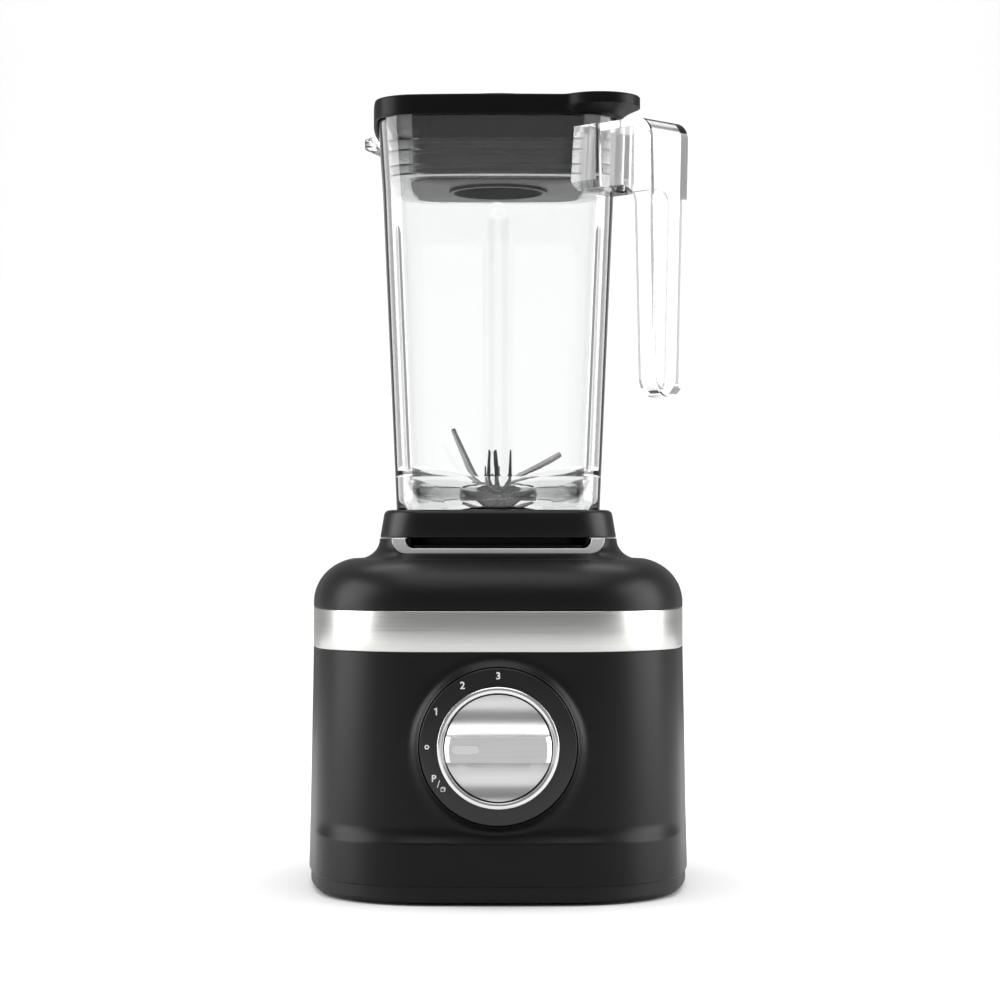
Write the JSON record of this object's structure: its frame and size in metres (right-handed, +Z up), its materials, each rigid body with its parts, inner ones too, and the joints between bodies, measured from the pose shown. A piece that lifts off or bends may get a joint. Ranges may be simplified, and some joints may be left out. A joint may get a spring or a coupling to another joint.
{
  "type": "countertop blender",
  "caption": "Countertop blender: motor base with front control knob, clear square jar with open handle, four-armed blades, lid and measuring cap.",
  "frame": {"origin": "drive axis at the plane the feet stand on", "axes": "+Z up along the drive axis, -Y to the control knob, jar handle towards +X and -Y"},
  "size_m": [0.1876, 0.2242, 0.3865],
  "materials": {
    "black_plastic": "fine texture",
    "black_housing": "matte black",
    "gloss_black": "satin gloss",
    "brushed_band": "brushed along the band",
    "grey_trim": "polished grey",
    "bright_trim": "bright",
    "satin_silver": "satin, linear brushed",
    "switch_body": "moulded",
    "rubber": "dull",
    "coupler_rubber": "dull",
    "zinc_steel": "zinc plated",
    "bearing_steel": "ground",
    "spring_steel": "drawn wire",
    "laminations": "stacked sheet",
    "copper": "enamelled wire",
    "cast_bracket": "die cast",
    "brass": "formed sheet",
    "bush_bronze": "sintered",
    "carbon": "pressed graphite",
    "circuit_board": "phenolic",
    "board_parts": "moulded",
    "wire_insulation": "extruded",
    "fan_plastic": "moulded nylon",
    "clear_jar": "clear polished polymer",
    "silicone": "soft, satin",
    "blade_steel": "ground and polished",
    "white_polymer": "machined"
  },
  "bodies": {
    "base": {"base_pan": "black_plastic", "rubber_feet": "rubber", "pan_screws": "zinc_steel", "lower_housing": "black_housing", "cord_grommet": "rubber", "trim_band": "brushed_band", "upper_housing": "black_housing", "seat_trim": "grey_trim", "jar_pad": "black_plastic", "shaft_seal": "rubber", "pad_screws": "zinc_steel", "dial_plate": "black_plastic", "knob_bezel": "bright_trim", "rotary_switch": "switch_body", "switch_nut": "zinc_steel", "motor_stator": "laminations", "field_coils": "copper", "lower_bracket": "cast_bracket", "upper_bracket": "cast_bracket", "lower_bearing": "bearing_steel", "upper_bearing": "bearing_steel", "motor_bolts": "zinc_steel", "motor_spacers": "zinc_steel", "rubber_mounts": "rubber", "carbon_brushes": "carbon", "brush_holders": "brass", "brush_springs": "spring_steel", "air_baffle": "black_plastic", "control_board": "circuit_board", "board_parts": "board_parts", "wire_harness": "wire_insulation"},
    "knob_body": {"knob": "satin_silver", "knob_pointer": "bright_trim", "switch_shaft": "zinc_steel"},
    "rotor": {"motor_shaft": "bearing_steel", "armature_core": "laminations", "armature_windings": "copper", "commutator": "copper", "cooling_fan": "fan_plastic", "drive_coupler": "coupler_rubber"},
    "jar_body": {"jar": "clear_jar", "jar_handle": "clear_jar", "jar_collar": "gloss_black", "jar_gasket": "silicone", "blade_housing": "blade_steel", "blade_bushes": "bush_bronze", "blade_seal": "rubber", "collar_ring": "black_plastic"},
    "blades": {"blade_shaft": "blade_steel", "lower_blade": "blade_steel", "upper_blade": "blade_steel", "blade_nut": "blade_steel", "thrust_washer": "white_polymer", "jar_coupler": "black_plastic"},
    "lid_body": {"lid": "gloss_black", "lid_gasket": "silicone"},
    "cap_body": {"ingredient_cap": "gloss_black"}
  },
  "joints": [
    {"name": "knob_turn", "type": "hinge", "parent": "base", "child": "knob_body", "pos_m": [0, -0.0956, 0.0737], "axis": [0, 1, 0], "range_deg": [-30, 90]},
    {"name": "motor_spin", "type": "hinge", "parent": "base", "child": "rotor", "pos_m": [0, 0, 0.1], "axis": [0, 0, 1], "continuous": true},
    {"name": "jar_lift", "type": "slide", "parent": "base", "child": "jar_body", "axis": [0, 0, 1], "range_m": [0, 0.06]},
    {"name": "blade_spin", "type": "hinge", "parent": "jar_body", "child": "blades", "pos_m": [0, 0, 0.19], "axis": [0, 0, 1], "continuous": true},
    {"name": "lid_lift", "type": "slide", "parent": "jar_body", "child": "lid_body", "axis": [0, 0, 1], "range_m": [0, 0.06]},
    {"name": "cap_lift", "type": "slide", "parent": "lid_body", "child": "cap_body", "axis": [0, 0, 1], "range_m": [0, 0.06]}
  ],
  "couplings": [
    {"joint": "blade_spin", "follows": "motor_spin", "ratio": 1}
  ]
}
